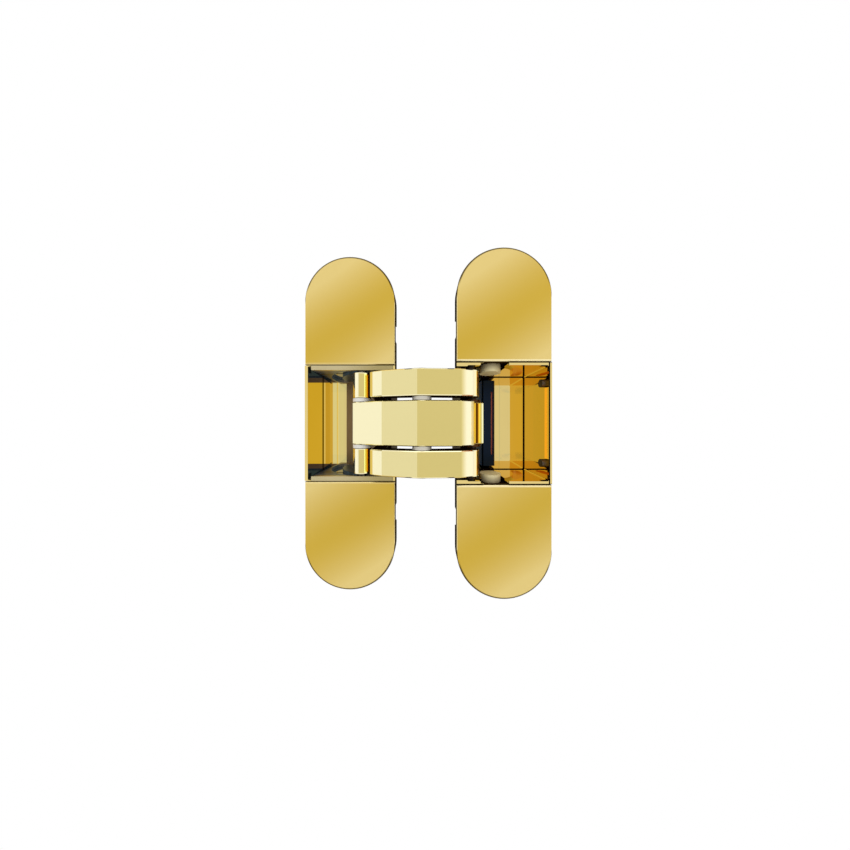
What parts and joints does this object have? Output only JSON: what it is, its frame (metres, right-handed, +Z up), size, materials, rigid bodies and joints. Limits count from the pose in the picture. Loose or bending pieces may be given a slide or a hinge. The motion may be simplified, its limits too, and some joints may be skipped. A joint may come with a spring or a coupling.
{
  "type": "concealed door hinge",
  "caption": "Concealed door hinge with two round-ended bodies, folding arms that pass through open pockets, and screwless covers, shown open flat.",
  "frame": {"origin": "middle of the frame-side body's screw pattern, in the plane of the back of its flange", "axes": "+Z up along the pivot axes, +X from the frame-side body to the door-side body, +Y into the frame and the door leaf"},
  "size_m": [0.08, 0.0334, 0.111],
  "materials": {
    "satin_gold": "satin plated covers",
    "polished_gold": "polished plated casting",
    "arm_gold": "polished plated arms",
    "grey_casting": "bare grey die casting",
    "white_nylon": "moulded",
    "pin_steel": "ground",
    "dark_steel": "blackened"
  },
  "bodies": {
    "frame_side": {"frame_housing": "polished_gold", "frame_rear_cup": "polished_gold", "frame_cover_top": "satin_gold", "frame_cover_bottom": "satin_gold", "frame_carrier": "grey_casting", "frame_arm_pin": "pin_steel", "frame_depth_adjusters": "dark_steel"},
    "outer_arms": {"outer_arm_top": "arm_gold", "outer_arm_bottom": "arm_gold", "centre_pin": "pin_steel", "door_guide_pins": "pin_steel"},
    "middle_arm": {"middle_arm": "arm_gold", "centre_washers": "white_nylon", "frame_guide_pin": "pin_steel", "knuckle_washers": "white_nylon", "knuckle_bush_top": "arm_gold", "knuckle_bush_bottom": "arm_gold"},
    "door_side": {"door_housing": "polished_gold", "door_rear_cup": "polished_gold", "door_cover_top": "satin_gold", "door_cover_bottom": "satin_gold", "door_boss_top": "grey_casting", "door_boss_bottom": "grey_casting", "door_arm_pin": "pin_steel", "door_grub_screws": "dark_steel", "door_side_adjusters": "dark_steel", "door_pin_washers": "white_nylon", "door_slide_block": "dark_steel"}
  },
  "joints": [
    {"name": "arm_fold", "type": "hinge", "parent": "frame_side", "child": "outer_arms", "pos_m": [0.00844, 0.00724, 0], "axis": [0, 0, -1], "range_deg": [0, 100.8]},
    {"name": "arm_cross", "type": "hinge", "parent": "outer_arms", "child": "middle_arm", "pos_m": [0.02401, -0.00662, 0], "axis": [0, 0, -1], "range_deg": [-30.6, 0]},
    {"name": "door_turn", "type": "hinge", "parent": "middle_arm", "child": "door_side", "pos_m": [0.04234, 0.00352, 0], "axis": [0, 0, -1], "range_deg": [0, 109.8]}
  ],
  "couplings": [
    {"joint": "arm_cross", "follows": "arm_fold", "ratio": -0.30357},
    {"joint": "door_turn", "follows": "arm_fold", "ratio": 1.0893}
  ]
}
